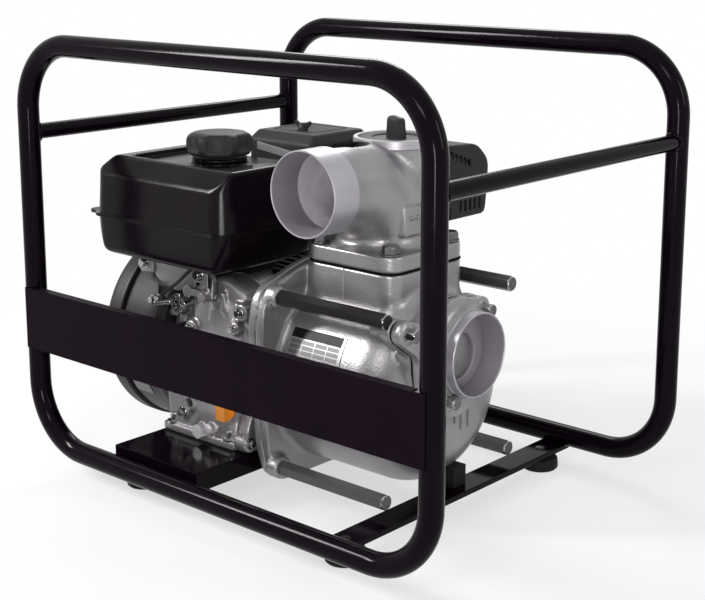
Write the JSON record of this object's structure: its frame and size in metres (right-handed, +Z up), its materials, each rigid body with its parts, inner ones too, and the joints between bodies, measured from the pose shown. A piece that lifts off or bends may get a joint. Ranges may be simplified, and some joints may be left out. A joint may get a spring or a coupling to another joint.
{
  "type": "gas engine trash pump",
  "caption": "Portable engine-driven trash pump in a tube frame, with a cast casing, side suction port, forward discharge elbow, fuel tank and air cleaner.",
  "frame": {"origin": "on the floor under the middle of the bounding box", "axes": "+X from the engine to the suction port, -Y towards the front panel and the discharge port, +Z up"},
  "size_m": [0.7356, 0.5404, 0.6153],
  "materials": {
    "frame_paint": "semi-gloss black powder coat",
    "black_steel": "satin black paint on pressed steel",
    "rubber": "matte black rubber",
    "cast_aluminium": "as-cast aluminium, satin",
    "engine_casting": "die-cast aluminium",
    "bright_steel": "zinc-plated steel",
    "cast_iron": "dark cast iron",
    "grey_plastic": "dark grey moulded plastic",
    "black_plastic": "textured black plastic",
    "filter_foam": "open foam filter",
    "orange_plastic": "orange moulded plastic"
  },
  "bodies": {
    "machine": {"front_loop": "frame_paint", "rear_loop": "frame_paint", "left_hand_bar": "frame_paint", "right_hand_bar": "frame_paint", "engine_pan": "frame_paint", "pump_crossbar": "frame_paint", "front_panel": "frame_paint", "left_front_foot": "rubber", "left_rear_foot": "rubber", "right_front_foot": "rubber", "right_rear_foot": "rubber", "adapter_plate": "cast_aluminium", "pump_casing": "cast_aluminium", "casing_seam_gasket": "rubber", "suction_cover": "cast_aluminium", "discharge_gasket": "rubber", "discharge_elbow": "cast_aluminium", "front_low_bar": "bright_steel", "front_high_bar": "bright_steel", "rear_low_bar": "bright_steel", "rear_high_bar": "bright_steel", "elbow_bolt_1": "bright_steel", "elbow_bolt_2": "bright_steel", "elbow_bolt_3": "bright_steel", "elbow_bolt_4": "bright_steel", "volute_ring": "cast_iron", "shaft_seal": "bright_steel", "crankcase": "cast_aluminium", "crankcase_cover": "cast_aluminium", "cylinder": "engine_casting", "cylinder_head": "engine_casting", "rocker_cover": "black_steel", "spark_plug": "bright_steel", "connecting_rod": "engine_casting", "piston": "engine_casting", "blower_housing": "black_steel", "recoil_cover": "black_steel", "oil_drain_bolt": "bright_steel", "carburettor": "engine_casting", "air_cleaner_base": "black_plastic", "air_filter_element": "filter_foam", "air_cleaner_cover": "black_plastic", "muffler": "cast_iron", "muffler_guard": "black_steel", "tank_upper_half": "frame_paint", "tank_lower_half": "frame_paint", "tank_bracket": "bright_steel"},
    "rotor": {"crankshaft": "bright_steel", "flywheel": "cast_iron", "impeller": "cast_iron"},
    "camshaft": {"camshaft": "cast_iron"},
    "starter_reel": {"starter_reel": "grey_plastic"},
    "fuel_cap": {"fuel_cap": "grey_plastic"},
    "priming_plug": {"priming_plug": "grey_plastic"},
    "oil_filler_plug": {"oil_filler_plug": "orange_plastic"},
    "check_valve_flap": {"check_valve_flap": "rubber"},
    "throttle_lever": {"throttle_lever": "black_steel"},
    "choke_lever": {"choke_lever": "grey_plastic"},
    "engine_switch": {"engine_switch": "grey_plastic"},
    "wing_nut": {"wing_nut": "bright_steel"}
  },
  "joints": [
    {"name": "crank_spin", "type": "hinge", "parent": "machine", "child": "rotor", "pos_m": [-0.15, 0.00115, 0.168], "axis": [1, 0, 0], "continuous": true},
    {"name": "cam_spin", "type": "hinge", "parent": "machine", "child": "camshaft", "pos_m": [-0.1, -0.04521, 0.14335], "axis": [1, 0, 0], "continuous": true},
    {"name": "starter_spin", "type": "hinge", "parent": "machine", "child": "starter_reel", "pos_m": [-0.325, 0.00115, 0.168], "axis": [1, 0, 0], "range_deg": [0, 1080], "stiffness_Nm_per_rad": 0.02},
    {"name": "fuel_cap_turn", "type": "hinge", "parent": "machine", "child": "fuel_cap", "pos_m": [-0.178, -0.06285, 0.46], "axis": [0, 0, 1], "range_deg": [0, 90]},
    {"name": "priming_plug_turn", "type": "hinge", "parent": "machine", "child": "priming_plug", "pos_m": [0.064, 0.02915, 0.48], "axis": [0, 0, 1], "range_deg": [0, 720]},
    {"name": "oil_plug_turn", "type": "hinge", "parent": "machine", "child": "oil_filler_plug", "pos_m": [-0.086, -0.14185, 0.116], "axis": [0, -1, 0], "range_deg": [0, 1080]},
    {"name": "flap_swing", "type": "hinge", "parent": "machine", "child": "check_valve_flap", "pos_m": [0.1823, 0.00115, 0.256], "axis": [0, 1, 0], "range_deg": [0, 55], "stiffness_Nm_per_rad": 0.03, "springref_deg": -22.92},
    {"name": "throttle_turn", "type": "hinge", "parent": "machine", "child": "throttle_lever", "pos_m": [-0.188, -0.11885, 0.258], "axis": [0, 1, 0], "range_deg": [-32, 8]},
    {"name": "choke_turn", "type": "hinge", "parent": "machine", "child": "choke_lever", "pos_m": [-0.185, 0.10115, 0.346], "axis": [1, 0, 0], "range_deg": [0, 60]},
    {"name": "switch_turn", "type": "hinge", "parent": "machine", "child": "engine_switch", "pos_m": [-0.2, -0.11285, 0.2], "axis": [0, -1, 0], "range_deg": [0, 90]},
    {"name": "wing_nut_turn", "type": "hinge", "parent": "machine", "child": "wing_nut", "pos_m": [-0.155, 0.08115, 0.47], "axis": [0, 0, 1], "range_deg": [0, 1080]}
  ],
  "couplings": [
    {"joint": "cam_spin", "follows": "crank_spin", "ratio": -0.5}
  ]
}
